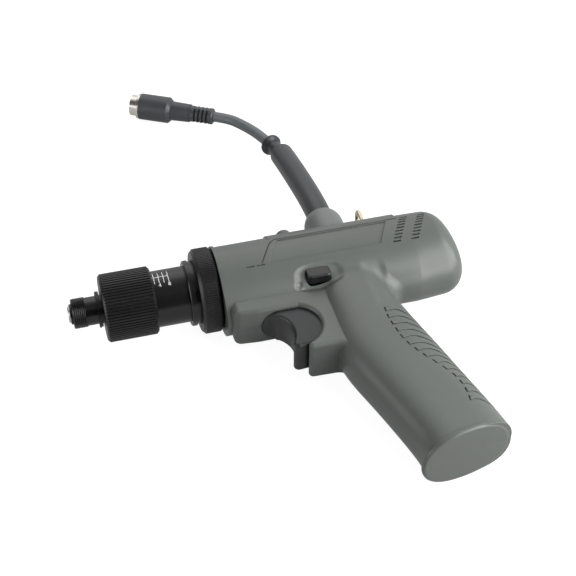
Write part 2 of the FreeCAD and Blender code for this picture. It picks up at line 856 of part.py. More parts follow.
def below_foot(lift):
    """Everything under the slanted foot of the grip, less a lift."""
    start = foot_middle - foot_down * lift - foot_way * 80
    slab = Part.makePolygon([start, start + foot_way * 160, start + foot_way * 160 + foot_down * 60,
                             start + foot_down * 60, start])
    face = Part.Face(slab)
    face.translate(V(0, 0, -60))
    return face.extrude(V(0, 0, 120))


def grip_form(inset):
    wires = [grip_ring(y, a, b, share * num("grip_half"), inset) for y, a, b, share in GRIP_LEVELS]
    loft = Part.makeLoft(wires, True, False)
    return loft.cut(below_foot(inset + 0.5))


def grip_foot():
    """The flared foot, a rounded oval plate across the end of the grip."""
    reach, half, power, steps = num("grip_foot_len") / 2, num("grip_foot_half"), 2.25, 24
    points = []
    for i in range(steps):
        angle = 2 * math.pi * i / steps
        c, d = math.cos(angle), math.sin(angle)
        along = reach * math.copysign(abs(c) ** (2 / power), c)
        across = half * math.copysign(abs(d) ** (2 / power), d)
        points.append(foot_middle + foot_way * along + V(0, 0, across))
    curve = Part.BSplineCurve()
    curve.interpolate(points, PeriodicFlag=True)
    plate = Part.Face(Part.Wire([curve.toShape()])).extrude(foot_down * -num("grip_foot_thick"))
    return plate.makeFillet(1.3, plate.Edges)


def under_form():
    """The block in front of the trigger, the rim round the trigger and the heel."""
    x0, low, heel = num("block_x"), -num("block_depth"), -num("heel_depth")
    half = num("block_half")
    shape = side_plate((x0, -14.0), [
        (x0, low + 5.5),
        (x0 + 1.3, low + 2.2, x0 + 4.5, low + 0.8),
        (x0 + 13.0, low),
        (118.0, low),
        (127.0, low - 12.6, 117.2, low - 27.2),
        (116.4, heel + 2.6),
        (117.2, heel + 0.7, 119.0, heel),
        (131.0, heel - 0.4),
        (135.6, heel - 2.4, 138.0, heel - 7.0),
        (152.0, heel - 10.0),
        (160.0, -14.0)], -half, half)
    low_edges = []
    for edge in shape.Edges:
        box = edge.BoundBox
        if box.ZLength < 1e-6 and box.YMin < -30.0 and box.YMax < -14.5 and box.XMax < 138.5:
            low_edges.append(edge)
    plan = block(x0, 170.0, heel - 20.0, 0.0, -half, half)
    plan = plan.makeFillet(num("block_corner"), edges_along(plan, V(0, 1, 0), lambda c: c.x < x0 + 1e-3))
    return shape.makeFillet(num("block_round"), low_edges).common(plan)


def bail_lug():
    """The rounded lug on the saddle that carries the bail."""
    x, y, r, half = num("bail_x"), num("bail_y"), num("lug_round"), num("lug_half")
    return cross_pin(x, y, -half, half, r).fuse(block(x - r, x + r, 20.0, y, -half, half))


def outer_form():
    """The whole outside of the housing before its openings are cut."""
    barrel = barrel_form(0.0)
    body = barrel.fuse(grip_form(0.0))
    seam = [e for e in body.Edges if e.Curve.TypeId == "Part::GeomBSplineCurve"
            and e.BoundBox.YMax < 0 and e.BoundBox.YMin > -45 and e.BoundBox.XMax < 190]
    body = body.makeFillet(num("grip_blend"), seam)
    saddle = rod(num("saddle_x"), num("saddle_end"), saddle_r, saddle_y)
    saddle = saddle.common(block(num("saddle_x"), num("saddle_end"), num("saddle_edge_y"), 60, -60, 60))
    rim = rod(float(housing_x), float(housing_x) + 1.6, num("housing_r") + 0.7)
    for piece in (under_form(), grip_foot(), saddle, rim, bail_lug()):
        body = body.fuse(piece)
    return body


# Screw places in the side view
SCREW_PLACES = [(89.5, -26.5), (145.0, -29.0), (139.5, -60.0), (166.0, -92.0), (160.5, -131.5),
                (188.0, -128.0), (204.0, -16.0), (197.0, 13.0)]


def plan_slot(x0, x1, half, y0, y1):
    """A slot seen from below, with a round front end."""
    front = Part.makeCylinder(half, y1 - y0, V(x0 + half, y0, 0), V(0, 1, 0))
    return front.fuse(block(x0 + half, x1, y0, y1, -half, half))


def hollows():
    """The spaces inside: barrel, grip, the trigger's slot and the chamber before it."""
    wall, half = num("housing_wall"), num("trigger_half") + num("slide_gap")
    slot = plan_slot(num("trigger_x") - num("slide_gap"), num("trigger_slot_end"), half,
                     -num("heel_depth") + 2.6, -20.0)
    chamber = block(num("block_x") + 3.0, num("trigger_x") - 2.4, -num("block_depth") + wall, -22.0,
                    -num("block_half") + 2.6, num("block_half") - 2.6)
    nose_bore = rod(float(housing_x) - 1, float(housing_x) + num("front_wall") + 1,
                    num("gear_case_r") + num("seat_gap"))
    return [barrel_form(wall), grip_form(num("grip_wall")), slot, chamber, nose_bore]


def seats():
    """Ribs and shelves that carry what is inside, before they are trimmed to the walls."""
    thick, gap = num("rib_thick"), num("seat_gap")
    pieces = []
    for x, r in ((num("gear_case_end") - 8.0, num("gear_case_r")),
                 (num("motor_end") - 30.0, num("motor_r")), (num("motor_end") - 18.0, num("motor_r"))):
        rib = block(x, x + thick, -22.0, 26.0, 0.0, 26.0)
        pieces.append(rib.cut(rod(x - 1, x + thick + 1, r + gap)))
    board_low = num("board_y") - num("board_thick") / 2 - gap
    for x in (num("board_x") + 8.0, num("board_x") + num("board_len") - 8.0):
        pieces.append(block(x, x + thick, -26.0, board_low, 0.0, 20.0))
    sx, sy = num("switch_x"), num("switch_y")
    for y in (sy - num("switch_height") / 2 - gap - thick, sy + num("switch_height") / 2 + gap):
        pieces.append(block(sx + 1.0, sx + num("switch_len"), y, y + thick, 0.0, 20.0))
    rx, ry = num("button_x"), reverse_switch_low() - gap
    pieces.append(block(rx - 5.4, rx + 6.0, ry - thick, ry, 0.0, 14.0))
    return pieces


def switch_pockets():
    """Room in the walls for the corners of both switches."""
    gap = num("seat_gap")
    sx, sy, high = num("switch_x"), num("switch_y"), num("switch_height") / 2 + gap
    rx, low = num("button_x"), reverse_switch_low()
    return [block(sx - gap, sx + num("switch_len") + gap, sy - high, sy + high, 0, num("switch_half") + gap),
            block(rx - 5.0 - gap, rx + 5.0 + gap, low - gap, low + 5.6 + gap, 0, 5.0 + gap)]


def reverse_switch_low():
    return num("button_y") - num("button_bar_height") / 2 - num("slide_gap") - 5.6


def rounded_bar(x0, x1, y0, y1, z0, z1, radius):
    bar = block(x0, x1, y0, y1, z0, z1)
    return bar.makeFillet(radius, edges_along(bar, V(0, 0, 1), lambda c: True))


def vent_slots(z0, z1):
    """Two slanted columns of short slots on one side."""
    slots = []
    for column_x in (num("vent_x"), num("vent_x") + num("vent_column_gap")):
        for i in range(int(num("vent_count"))):
            y = num("vent_top_y") - i * num("vent_pitch")
            x = column_x - i * num("vent_slant")
            slots.append(block(x, x + num("vent_len"), y, y + num("vent_width"), z0, z1))
    return slots


def plate_recess(depth):
    """The bare trapezoid panel let into both sides of the barrel."""
    low, high = -9.2, num("saddle_edge_y") - 1.2
    x0, x1 = num("saddle_x"), num("saddle_end")
    panel = prism([(x0 - 4.0, low), (x1 - 14.0, low), (x1 - 6.5, high), (x0 + 4.5, high)], -40, 40)
    return panel.cut(barrel_form(depth))


# Corners of the grip's grooves, from the top, and the line that each one follows:
# share of the way from its corner to the back of the grip, and height
GROOVE_CORNERS = [(159.9, -49.6), (159.7, -54.8), (159.7, -60.0), (160.5, -65.0), (161.5, -70.2),
                  (162.7, -75.2), (164.9, -80.2), (167.7, -85.0), (170.9, -89.9), (174.6, -94.8),
                  (178.3, -99.9), (181.1, -105.2), (182.5, -110.6), (182.8, -116.4), (182.2, -122.2)]
GROOVE_LINE = [(0.0, 0.0), (0.12, 0.45), (0.25, 0.65), (0.38, 0.4), (0.5, -0.6), (0.62, -1.9),
               (0.8, -3.6), (1.0, -5.0)]


def grip_back(y):
    """Rear edge of the grip at a height."""
    for above, below in zip(GRIP_LEVELS, GRIP_LEVELS[1:]):
        if above[0] >= y >= below[0]:
            share = (above[0] - y) / (above[0] - below[0])
            return above[2] + share * (below[2] - above[2])
    raise ValueError("no grip at %s" % y)


def grip_grooves():
    """The grooves round the back of the grip, each with a short leg up its side."""
    half = num("groove_width") / 2
    grooves = []
    for before, (x, y) in zip(GROOVE_CORNERS, GROOVE_CORNERS[1:]):
        reach = grip_back(y) + 1.0 - x
        line = [(x + share * reach, y + rise) for share, rise in GROOVE_LINE]
        band = [(a, b + half) for a, b in line] + [(a, b - half) for a, b in reversed(line)]
        top_x, top_y = x + 0.55 * (before[0] - x), y + 0.55 * (before[1] - y)
        leg = [(x - half, y - half), (x + half, y - half), (top_x + half, top_y), (top_x - half, top_y)]
        grooves.append(prism(band, 0, 30).fuse(prism(leg, 0, 30)))
    return Part.makeCompound(grooves).cut(grip_form(num("groove_depth")))


def side_marks():
    """The line under the saddle and two short slots in front of it, on one side."""
    edge, rear = num("saddle_edge_y"), num("saddle_end")
    line = prism([(104.5, -8.5), (112.5, 6.1), (115.6, edge + 0.4), (rear, edge + 0.4), (rear, edge - 0.4),
                  (116.0, edge - 0.4), (113.2, 5.7), (105.2, -8.9)], 0, 40)
    slots = [block(x, x + 4.5, -10.2, -9.3, 0, 40) for x in (95.8, 101.8)]
    return Part.makeCompound([line] + slots).cut(barrel_form(num("groove_depth")))


def screw_bars(z0, z1, radius):
    """One bar of the same depth at every screw place."""
    return Part.makeCompound([cross_pin(x, y, z0, z1, radius) for x, y in SCREW_PLACES])


def housing_half():
    """What both halves share: wall, bosses, ribs and the openings on one side."""
    outer = outer_form().common(block(0, 300, -200, 100, 0.0, 60))
    shell = outer
    for hollow in hollows():
        shell = shell.cut(hollow)
    shell = shell.fuse(screw_bars(0, 30, num("screw_boss_r")).common(outer))
    shell = shell.fuse(Part.makeCompound(seats()).common(outer))
    gap = num("slide_gap")
    bx, by = num("button_x"), num("button_y")
    half_len, half_high = num("button_len") / 2 + gap, num("button_height") / 2 + gap
    openings = [
        rounded_bar(bx - half_len, bx + half_len, by - half_high, by + half_high, 4, 30, 2.4),
        cross_pin(num("pivot_x"), num("pivot_y"), 0, num("pivot_end") + 0.05,
                  num("pivot_r") + num("seat_gap")),
        Part.makeCylinder(num("gland_stem_r") + num("seat_gap"), 30, V(num("gland_x"), 5, 0),
                          V(0, 1, 0)),
        cross_pin(num("bail_x"), num("bail_y"), 0, 30, num("bail_wire_r") + 0.08),
        rod(num("trigger_slot_end") - 1, num("switch_x"), num("plunger_r") + gap, num("switch_y"))]
    shell = shell.cut(Part.makeCompound(openings + vent_slots(8.0, 26.0)))
    for pocket in switch_pockets():
        shell = shell.cut(pocket)
    shell = shell.cut(Part.makeCompound([grip_grooves(), side_marks()]))
    return shell.cut(plate_recess(0.5))


def left_half(half):
    """Blind screw holes, and the seat of the indicator lamp."""
    x, z = num("lamp_x"), num("lamp_z")
    seat = Part.makeCylinder(num("lamp_collar_r"), num("lamp_top_y") - 14.8, V(x, 15.0, z), V(0, 1, 0))
    hole = Part.makeCylinder(num("lamp_r") + num("seat_gap"), 20, V(x, 10, z), V(0, 1, 0))
    pilots = screw_bars(0, num("screw_tip_z") + 0.6, num("screw_r") + 0.04)
    return half.fuse(seat.cut(rod(x - 9, x + 9, housing_bore.value + 0.5))).cut(hole).cut(pilots)


def right_half(half):
    """Screw holes with sunk seats for the heads."""
    other = half.mirror(V(0, 0, 0), V(0, 0, 1))
    head = num("screw_head_z")
    other = other.cut(screw_bars(-head - 0.1, 0, num("screw_r") + 0.15))
    return other.cut(screw_bars(-40, -head, num("screw_head_r") + num("slide_gap")))


shared_half = housing_half()
made("housing_left", left_half(shared_half))
made("housing_right", right_half(shared_half))


def housing_screw(x, y):
    """A flat-headed screw across the seam."""
    head, gap = num("screw_head_z"), num("seat_gap")
    shank = cross_pin(x, y, -head - 0.5, num("screw_tip_z"), num("screw_r"))
    cap = cross_pin(x, y, -head - gap - 2.0, -head - gap, num("screw_head_r"))
    drive = Part.makeBox(3.6, 0.8, 1.0, V(x - 1.8, y - 0.4, -head - gap - 2.0))
    cross = Part.makeBox(0.8, 3.6, 1.0, V(x - 0.4, y - 1.8, -head - gap - 2.0))
    return cap.fuse(shank).cut(drive.fuse(cross))


made("housing_screws", Part.makeCompound([housing_screw(x, y) for x, y in SCREW_PLACES]))


# Trigger, its pin, its switch and the plunger
def trigger():
    x0, half = num("trigger_x"), num("trigger_half")
    side = side_plate((x0, -34.7), [
        (x0, -31.0),
        (x0 + 1.2, -26.8, x0 + 5.4, -25.4),
        (116.0, -27.2),
        (121.0, -31.2),
        (128.8, -46.6, 119.8, -60.6),
        (112.6, -61.2),
        (110.4, -60.5, 109.6, -57.8),
        (111.8, -46.8, 106.6, -38.0),
        (104.0, -35.6, 101.0, -34.9)], -half, half)
    shape = side.common(plan_slot(x0, 135.0, half, -70, -20))
    rounded = []
    for edge in shape.Edges:
        c = edge.CenterOfMass
        if abs(abs(c.z) - half) < 1e-3 and c.x < 113.5 and c.y < -37.0:
            rounded.append(edge)
    shape = shape.makeFillet(1.6, rounded)
    hole = cross_pin(num("pivot_x"), num("pivot_y"), -half - 1, half + 1, num("pivot_r") + num("run_gap"))
    hollow = block(114.6, 140.0, -57.0, -30.0, -half + 2.2, half - 2.2).common(
        cross_pin(132.0, -45.0, -half, half, 17.5))
    core = block(117.0, 140.0, -48.6, -44.6, -half + 2.0, half - 2.0)
    return shape.cut(hole).cut(hollow.cut(core))


made("trigger", trigger())
made("trigger_pin", cross_pin(num("pivot_x"), num("pivot_y"), -num("pivot_end"), num("pivot_end"),
                              num("pivot_r")))


def switch_body():
    x, y, high = num("switch_x"), num("switch_y"), num("switch_height") / 2
    body = block(x, x + num("switch_len"), y - high, y + high, -num("switch_half"), num("switch_half"))
    hole = rod(x - 1, x + 8.0, num("plunger_r") + num("run_gap"), y)
    terminals = [block(x + num("switch_len") - 0.5, x + num("switch_len") + 4.0, y + dy, y + dy + 0.8,
                       -1.6, 1.6) for dy in (-5.0, -0.4, 4.2)]
    return body.cut(hole).fuse(terminals)


made("trigger_switch", switch_body())
made("switch_plunger", rod(num("plunger_tip_x"), num("switch_x") + 4.4, num("plunger_r"),
                           num("switch_y")))


# Push-through reversing button and the switch under its bar
def reversing_button():
    x, y = num("button_x"), num("button_y")
    half_len, half_high = num("button_len") / 2, num("button_height") / 2
    bar_half, reach = num("button_bar_height") / 2, num("button_reach")
    shape = block(x - 3.2, x + 3.2, y - bar_half, y + bar_half, -reach + 4, reach - 3)
    for outer, inner in ((reach, 14.4), (-reach + num("button_travel"), -14.0)):
        z0, z1 = sorted((outer, inner))
        cap = rounded_bar(x - half_len, x + half_len, y - half_high, y + half_high, z0, z1, 2.1)
        rim = [e for e in cap.Edges if e.BoundBox.ZLength < 1e-6 and abs(e.CenterOfMass.z - outer) < 1e-6]
        shape = shape.fuse(cap.makeFillet(0.9, rim))
    return shape.removeSplitter()


made("reversing_button", reversing_button())
made("reversing_switch", block(num("button_x") - 5.0, num("button_x") + 5.0, reverse_switch_low(),
                               reverse_switch_low() + 5.6, -5.0, 5.0))


# Control board with its parts, between the motor and the tail
def control_board():
    y = num("board_y")
    thick = num("board_thick") / 2
    board = block(num("board_x"), num("board_x") + num("board_len"), y - thick, y + thick,
                  -num("board_half"), num("board_half"))
    corner = [e for e in edges_along(board, V(0, 1, 0), lambda c: True)]
    return board.makeFillet(2.0, corner)


def board_parts():
    """Two capacitors, a finned cooler and a terminal block standing on the board."""
    top = num("board_y") + num("board_thick") / 2
    x = num("board_x")
    pieces = [Part.makeCylinder(5.0, 12.0, V(x + 14.0, top, z), V(0, 1, 0)) for z in (-7.5, 7.5)]
    cooler = block(x + 22.0, x + 36.0, top, top + 11.0, -9.0, 9.0)
    for i in range(5):
        cooler = cooler.cut(block(x + 21.0, x + 37.0, top + 2.5, top + 12.0, -8.0 + 3.6 * i, -6.2 + 3.6 * i))
    pieces.append(cooler)
    pieces.append(block(x + 1.0, x + 6.0, top, top + 6.0, -9.0, 9.0))
    return Part.makeCompound(pieces)


made("control_board", control_board())
made("board_components", board_parts())


# Cable gland, its nut, the indicator lamp and the suspension bail
def cable_gland():
    x, r, hole = num("gland_x"), num("gland_r"), num("gland_hole_r")
    low, top, middle = num("gland_low_y"), num("gland_top_y"), num("gland_middle_y")
    base = 17.0

    def bow(y):
        return math.sqrt(r * r - (y - middle) ** 2)

    mid_y = (middle + top) / 2
    corners = [V(x + bow(top), top, 0), V(x + hole, top, 0), V(x + hole, base, 0), V(x + r, base, 0),
               V(x + r, middle, 0)]
    edges = [Part.LineSegment(a, b).toShape() for a, b in zip(corners, corners[1:])]
    edges.append(Part.Arc(corners[-1], V(x + bow(mid_y), mid_y, 0), corners[0]).toShape())
    dome = Part.Face(Part.Wire(edges)).revolve(V(x, 0, 0), V(0, 1, 0), 360)
    dome = dome.cut(rod(x - 30, x + 30, saddle_r + num("seat_gap"), saddle_y))
    stem = Part.makeCylinder(num("gland_stem_r"), num("saddle_top_y") + 2 - low, V(x, low, 0), V(0, 1, 0))
    stem = stem.cut(Part.makeCylinder(hole, 60, V(x, 0, 0), V(0, 1, 0)))
    return dome.fuse(stem)


def gland_nut():
    x, low = num("gland_x"), num("gland_low_y")
    nut = Part.makeCylinder(num("gland_nut_r"), num("gland_nut_thick"), V(x, low, 0), V(0, 1, 0))
    return nut.cut(Part.makeCylinder(num("gland_stem_r") + num("seat_gap"), 60, V(x, 0, 0), V(0, 1, 0)))


made("cable_gland", cable_gland())
made("gland_nut", gland_nut())


def indicator_lens():
    x, z, r = num("lamp_x"), num("lamp_z"), num("lamp_r")
    body = Part.makeCylinder(r, num("lamp_top_y") - 16.0, V(x, 16.0, z), V(0, 1, 0))
    dome = Part.makeSphere(r, V(x, num("lamp_top_y"), z))
    return body.fuse(dome).removeSplitter()


made("indicator_lens", indicator_lens())


def suspension_bail():
    """A small wire bow whose ends turn inwards into the lug."""
    x, y, half = num("bail_x"), num("bail_y"), num("bail_half")
    end, small = 0.4, num("bail_corner")
    spring_y, top = y + num("bail_height") - half, y + num("bail_height")
    turn = small * (1 - math.sqrt(0.5))

    def at(height, side):
        return V(x, height, side)

    path = [Part.LineSegment(at(y, -end), at(y, small - half)).toShape(),
            Part.Arc(at(y, small - half), at(y + turn, turn - half), at(y + small, -half)).toShape(),
            Part.LineSegment(at(y + small, -half), at(spring_y, -half)).toShape(),
            Part.Arc(at(spring_y, -half), at(top, 0), at(spring_y, half)).toShape(),
            Part.LineSegment(at(spring_y, half), at(y + small, half)).toShape(),
            Part.Arc(at(y + small, half), at(y + turn, half - turn), at(y, half - small)).toShape(),
            Part.LineSegment(at(y, half - small), at(y, end)).toShape()]
    ring = Part.Wire(Part.makeCircle(num("bail_wire_r"), at(y, -end), V(0, 0, 1)))
    return Part.Wire(path).makePipeShell([ring], True, True)


made("suspension_bail", suspension_bail())


# Cable: these pieces lie in the part's own frame, with the table under them
BOOT_ROUTE = [V(151.0, 24.0, 0.9), V(151.0, 46.0, 1.7), V(150.4, 66.0, -0.6), V(149.4, 86.0, -3.6),
              V(148.4, 104.5, -6.7), V(147.5, 120.4, -9.93)]
CABLE_ROUTE = [V(144.0, 132.6, -11.5), V(141.1, 142.7, -12.8), V(137.3, 152.5, -13.8),
               V(132.2, 161.7, -14.6), V(125.83, 170.49, -15.0), V(116.6, 175.5, -15.0)]


def route_wire(points, label):
    """Straight runs joined by arcs, each as large as its two runs allow."""
    edges, radii, here = [], [], points[0]
    for before, corner, after in zip(points, points[1:], points[2:]):
        back, ahead = before.sub(corner), after.sub(corner)
        reach = 0.45 * min(back.Length, ahead.Length)
        back.normalize()
        ahead.normalize()
        half_turn = (math.pi - back.getAngle(ahead)) / 2
        radius = reach / math.tan(half_turn)
        start, end = corner + back * reach, corner + ahead * reach
        middle_way = (back + ahead).normalize()
        middle = corner + middle_way * (radius / math.cos(half_turn) - radius)
        edges += [Part.LineSegment(here, start).toShape(), Part.Arc(start, middle, end).toShape()]
        radii.append(radius)
        here = end
    edges.append(Part.LineSegment(here, points[-1]).toShape())
    wire = Part.Wire(edges)
    print("%s: length %.1f, radii %s" % (label, wire.Length, [round(r) for r in radii]))
    return wire


def round_tube(points, radius, label):
    wire = route_wire(points, label)
    ring = Part.Wire(Part.makeCircle(radius, points[0], points[1].sub(points[0])))
    tube_shape = wire.makePipeShell([ring], True, True)
    print("%s: volume %.0f, section times length %.0f"
          % (label, tube_shape.Volume, math.pi * radius ** 2 * wire.Length))
    return tube_shape


def cable_boot():
    """A bending boot with a shoulder, a thin neck and a flared collar at its end."""
    shape = round_tube(BOOT_ROUTE, num("boot_r"), "cable boot")
    way = CABLE_ROUTE[0].sub(BOOT_ROUTE[-1])
    far = way.Length
    way.normalize()
    rim = [e for e in shape.Edges if e.Curve.TypeId == "Part::GeomCircle"
           and e.CenterOfMass.sub(BOOT_ROUTE[-1]).Length < 0.5]
    shape = shape.makeFillet(2.6, rim)
    neck = Part.makeCylinder(num("boot_neck_r"), far + 1.5, BOOT_ROUTE[-1] - way * 1.5, way)
    collar = Part.makeCylinder(num("boot_flange_r"), 1.3, CABLE_ROUTE[0] - way * 1.3, way)
    flare = Part.makeCone(num("boot_neck_r"), num("boot_flange_r") - 0.4, 1.6,
                          CABLE_ROUTE[0] - way * 2.9, way)
    return shape.fuse(neck).fuse(flare).fuse(collar)


plug_way = CABLE_ROUTE[-1].sub(CABLE_ROUTE[-2])
plug_lie = FreeCAD.Placement(CABLE_ROUTE[-1], FreeCAD.Rotation(V(1, 0, 0), plug_way))


def lay_plug(shape):
    shape.Placement = plug_lie
    return shape


def plug_overmould():
    """Ribbed strain relief, neck and body of the plug, along its own axis."""
    relief, neck, body = num("relief_len"), num("plug_neck_len"), num("plug_len")
    r, neck_r, body_r = num("relief_r"), num("plug_neck_r"), num("plug_r")
    profile = [(0, 0), (0, r - 0.6), (0.6, r), (relief, r), (relief, neck_r), (relief + neck, neck_r + 0.4),
               (relief + neck, body_r - 2.0), (relief + neck + 2.0, body_r),
               (relief + neck + body, body_r), (relief + neck + body, 0)]
    wire = Part.makePolygon([V(a, b, 0) for a, b in profile + profile[:1]])
    shape = Part.Face(wire).revolve(V(0, 0, 0), V(1, 0, 0), 360)
    for i in range(4):
        x = 2.9 + i * 2.7
        groove = rod(x, x + 1.4, r + 1).cut(rod(x - 1, x + 3, r - 1.3))
        for way in (-1, 1):
            shape = shape.cut(groove.common(block(x, x + 1.4, *sorted((way * 1.2, way * 9)), -9, 9)))
    seat = rod(relief + neck + body - 6.0, relief + neck + body + 1, num("shell_r") + num("seat_gap"))
    return shape.cut(seat)


def plug_shell():
    """Metal shell with its flange, open in front."""
    base = num("relief_len") + num("plug_neck_len") + num("plug_len") + num("seat_gap")
    r, back = num("shell_r"), 5.4
    front = base + num("shell_flange_thick") + num("shell_reach")
    shape = rod(base - back, front, r).fuse(
        rod(base, base + num("shell_flange_thick"), num("shell_flange_r")))
    return shape.cut(rod(base - back - 1, front + 1, r - num("shell_wall")))


def plug_insert():
    """Insulating insert with eight contact holes and a keyway, set back in the shell."""
    base = num("relief_len") + num("plug_neck_len") + num("plug_len") + num("seat_gap")
    face = base + num("shell_flange_thick") + num("shell_reach") - num("shell_depth")
    r = num("shell_r") - num("shell_wall") - num("seat_gap")
    shape = rod(base - 5.4, face, r)
    holes = [rod(face - 3.0, face + 1, 0.6, 3.4 * math.cos(a), 3.4 * math.sin(a))
             for a in [math.radians(45 * i) for i in range(8)]]
    holes.append(block(face - 2.0, face + 1, r - 0.9, r + 1, -1.0, 1.0))
    return shape.cut(Part.makeCompound(holes))


cord_parts = [
    made("cable_boot", cable_boot()),
    made("cable", round_tube(CABLE_ROUTE, num("cable_r"), "cable")),
    made("plug_overmould", lay_plug(plug_overmould())),
    made("plug_shell", lay_plug(plug_shell())),
    made("plug_insert", lay_plug(plug_insert())),
]

# The tool is turned a little about its axis so that barrel and grip foot both rest
foot_reach = math.hypot(foot_middle.y, num("grip_foot_half"))
foot_angle = math.asin(num("grip_foot_half") / foot_reach)
tilt = math.asin(num("ring_r") / foot_reach) - foot_angle
lie = FreeCAD.Placement(V(0, 0, 0), FreeCAD.Rotation(V(1, 0, 0), math.degrees(tilt)))
for item in parts:
    if item not in cord_parts:
        item.Placement = lie.multiply(item.Placement)
doc.recompute()

os.makedirs("parts", exist_ok=True)
faults = []
for item in doc.Objects:
    if "Invalid" in item.State or "Error" in item.State:
        faults.append("%s is in state %s" % (item.Label, item.State))
for item in parts:
    if item.Shape.isNull() or not item.Shape.isValid() or not item.Shape.Solids:
        faults.append("%s has no valid solid" % item.Label)
if faults:
    raise RuntimeError("; ".join(faults))
for item in parts:
    item.Shape.exportStep("parts/%s.step" % item.Label)
    print("%-22s solids %2d  volume %9.1f" % (item.Label, len(item.Shape.Solids), item.Shape.Volume))
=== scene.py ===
import math

import bpy
from mathutils import Matrix, Vector


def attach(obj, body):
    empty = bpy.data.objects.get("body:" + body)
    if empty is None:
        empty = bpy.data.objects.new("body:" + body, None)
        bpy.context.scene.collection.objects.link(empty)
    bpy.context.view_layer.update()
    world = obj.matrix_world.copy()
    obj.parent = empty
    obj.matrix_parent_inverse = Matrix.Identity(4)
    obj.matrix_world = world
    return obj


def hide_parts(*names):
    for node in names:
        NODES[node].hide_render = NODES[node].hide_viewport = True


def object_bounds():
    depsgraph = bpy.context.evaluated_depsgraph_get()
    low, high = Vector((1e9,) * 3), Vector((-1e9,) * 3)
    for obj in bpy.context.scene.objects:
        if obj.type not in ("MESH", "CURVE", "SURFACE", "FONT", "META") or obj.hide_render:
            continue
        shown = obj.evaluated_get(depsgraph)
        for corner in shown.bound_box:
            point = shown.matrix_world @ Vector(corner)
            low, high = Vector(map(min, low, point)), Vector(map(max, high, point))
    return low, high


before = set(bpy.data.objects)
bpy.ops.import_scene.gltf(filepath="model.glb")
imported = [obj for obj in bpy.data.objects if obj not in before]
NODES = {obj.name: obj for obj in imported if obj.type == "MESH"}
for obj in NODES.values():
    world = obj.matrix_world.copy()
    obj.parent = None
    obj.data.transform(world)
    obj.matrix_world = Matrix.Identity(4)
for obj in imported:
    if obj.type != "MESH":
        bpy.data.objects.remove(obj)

bl_info = {
    "name": "Torque screwdriver looks",
    "version": (1, 0, 0),
    "blender": (4, 5, 0),
    "location": "3D View > Sidebar > Screwdriver",
    "description": "Dresses an electric torque screwdriver: finishes, setting scale, "
                   "cable and stage",
    "category": "Object",
}

CAD_BOX = [list(corner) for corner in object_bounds()]
TABLE_HEIGHT = CAD_BOX[0][2]

# The camera that took the photograph, round a point close to the middle of the barrel
CAMERA_AIM = Vector((0.12018, -0.00456, -0.00507))
CAMERA_AZIMUTH = math.radians(-13.904)
CAMERA_ELEVATION = math.radians(42.964)
CAMERA_ROLL = math.radians(-0.7135)
CAMERA_DISTANCE = 0.770
CAMERA_LENS = 87.5

CAMERA_SENSOR = 36.0

# The surround: direction of its brightest part, where along that direction it starts and
# stops growing brighter, and its two levels
BRIGHT_SIDE = (0.52, 0.82, 0.24)
SURROUND_RAMP = {"From Min": -0.25, "From Max": 0.95, "To Min": 0.05, "To Max": 0.90}

# Studio lights: name, place, side of the square and watts; all face the middle of the tool
LIGHTS = [
    ("key_light", (0.54, -0.26, 0.30), 0.6, 6.0),
    ("back_light", (0.10, 0.90, 0.90), 0.9, 2.0),
    ("fill_light", (-0.3, -0.6, 1.2), 0.7, 0.8),
    ("left_light", (-0.9, -0.20, 0.22), 0.8, 5.5),
    ("low_light", (0.40, -0.50, 0.06), 0.35, 1.15),
]
LIGHT_AIM = (0.12, 0.0, 0.0)

# The floor: side, distance below the tool, grey that it reflects, and how brightly it shows
# to the camera and to polished faces
FLOOR_SIZE = 8.0
FLOOR_DROP = 0.0001
FLOOR_GREY = (0.24, 0.24, 0.24)
FLOOR_GLOW = 0.93
MIRRORED_SHARE = 0.4

# Route of the cable, from the collar of its boot to the strain relief of the plug
CABLE_ROUTE = [
    (0.1440, 0.1326, -0.0115),
    (0.1411, 0.1427, -0.0128),
    (0.1373, 0.1525, -0.0138),
    (0.1322, 0.1617, -0.0146),
    (0.12583, 0.17049, -0.0150),
    (0.1166, 0.1755, -0.0150),
]

# The tool lies turned this much about its output axis
TOOL_TURN = math.radians(2.1006)

# Radius of the clutch barrel, which carries the setting scale
BARREL_RADIUS = 0.0154


# Sizes and colours that a user would change
class ToolSizes(bpy.types.PropertyGroup):
    grain: bpy.props.FloatProperty(
        name="Grain", description="Size of the moulded grain on the housing",
        default=0.00045, min=0.0001, subtype="DISTANCE", unit="LENGTH")
    cable_diameter: bpy.props.FloatProperty(
        name="Cable diameter", description="Outside diameter of the cable",
        default=0.0066, min=0.002, subtype="DISTANCE", unit="LENGTH")
    thread_pitch: bpy.props.FloatProperty(
        name="Thread pitch", description="Pitch of the fine thread on the nose collar",
        default=0.00105, min=0.0002, subtype="DISTANCE", unit="LENGTH")
    scale_start: bpy.props.FloatProperty(
        name="First mark", description="Distance of the first scale mark from the nose tip",
        default=0.0474, subtype="DISTANCE", unit="LENGTH")
    scale_pitch: bpy.props.FloatProperty(
        name="Mark pitch", description="Distance between two marks of the setting scale",
        default=0.00258, min=0.0005, subtype="DISTANCE", unit="LENGTH")
    scale_marks: bpy.props.IntProperty(
        name="Marks", description="Number of marks on the setting scale", default=4, min=1)
    numeral_height: bpy.props.FloatProperty(
        name="Numeral height", description="Height of the numerals on the setting scale",
        default=0.0021, min=0.0005, subtype="DISTANCE", unit="LENGTH")


